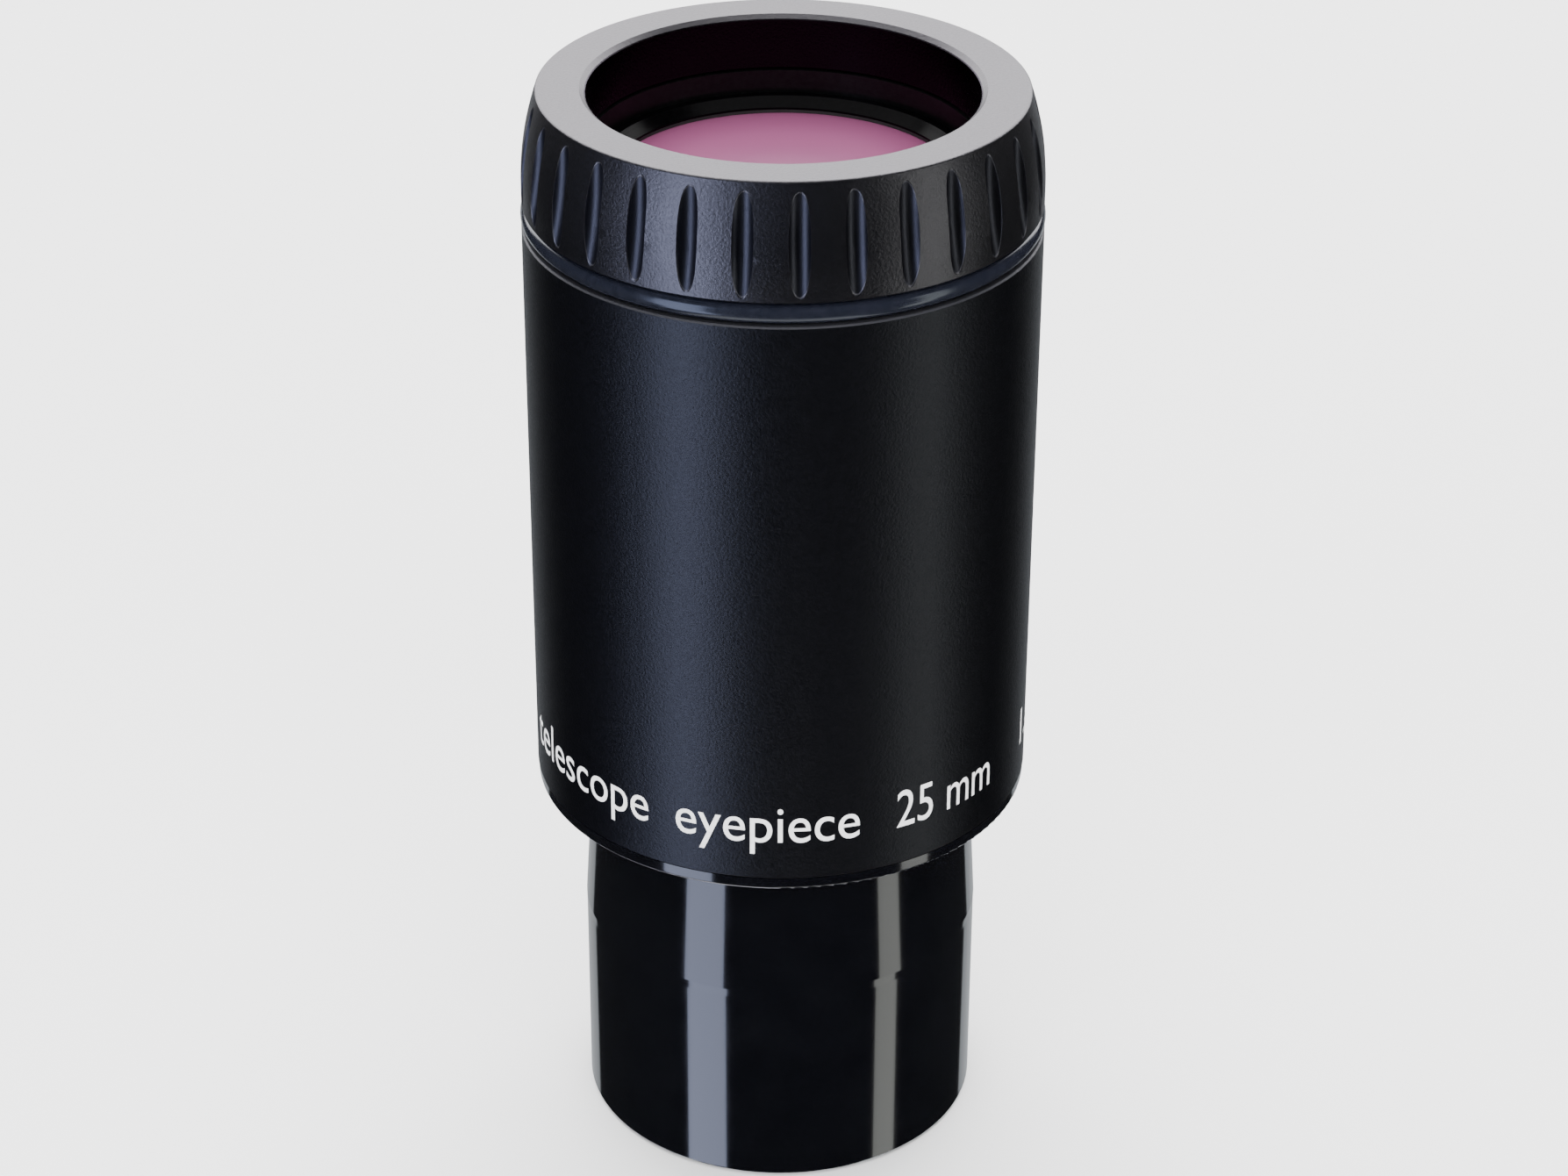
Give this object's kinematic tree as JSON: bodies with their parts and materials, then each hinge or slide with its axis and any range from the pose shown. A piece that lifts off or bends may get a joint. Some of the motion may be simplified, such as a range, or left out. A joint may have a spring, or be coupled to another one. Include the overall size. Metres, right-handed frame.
{
  "type": "telescope eyepiece",
  "caption": "Telescope eyepiece with a push-fit barrel, a smooth cylindrical body and a fluted eye guard that twists up on helical slots.",
  "frame": {"origin": "centre of the barrel's open end, which is the lowest point of the standing eyepiece", "axes": "+Z along the optical axis from the barrel's open end towards the eye; the pictured front faces -Y, +X to its right"},
  "size_m": [0.039, 0.039, 0.0876],
  "materials": {
    "satin_black": "satin black anodised aluminium",
    "gloss_black": "gloss black anodised aluminium",
    "matt_black": "matt black anti-reflection finish",
    "bezel_black": "semi-gloss black",
    "sleeve_black": "smooth black anodised aluminium",
    "coated_glass": "polished glass with a magenta coating",
    "clear_glass": "polished glass",
    "steel": "turned stainless steel",
    "rubber": "smooth black rubber",
    "packing": "thin black packing",
    "glide_plastic": "natural acetal"
  },
  "bodies": {
    "housing": {"barrel": "gloss_black", "body_shell": "satin_black", "lens_cell": "matt_black", "eye_lens_flint": "coated_glass", "eye_lens_crown": "clear_glass", "spacer_ring": "matt_black", "field_lens_crown": "clear_glass", "field_lens_flint": "coated_glass", "eye_seat_ring": "packing", "eye_lens_bezel": "bezel_black", "field_seat_ring": "packing", "field_lens_retainer": "matt_black", "field_stop": "matt_black", "stop_lock_ring": "matt_black", "guide_screws": "steel", "damping_ring": "rubber"},
    "seal_carriage": {"bead_ring": "rubber"},
    "eye_guard": {"grip_ring": "satin_black", "guide_sleeve": "sleeve_black", "glide_ring": "glide_plastic"}
  },
  "joints": [
    {"name": "eye_guard_rise", "type": "slide", "parent": "housing", "child": "seal_carriage", "axis": [0, 0, 1], "range_m": [0, 0.0075]},
    {"name": "eye_guard_twist", "type": "hinge", "parent": "seal_carriage", "child": "eye_guard", "pos_m": [0, 0, 0.078], "axis": [0, 0, 1], "range_deg": [0, 108]}
  ],
  "couplings": [
    {"joint": "eye_guard_rise", "follows": "eye_guard_twist", "m_per_rad": 0.0039788}
  ]
}
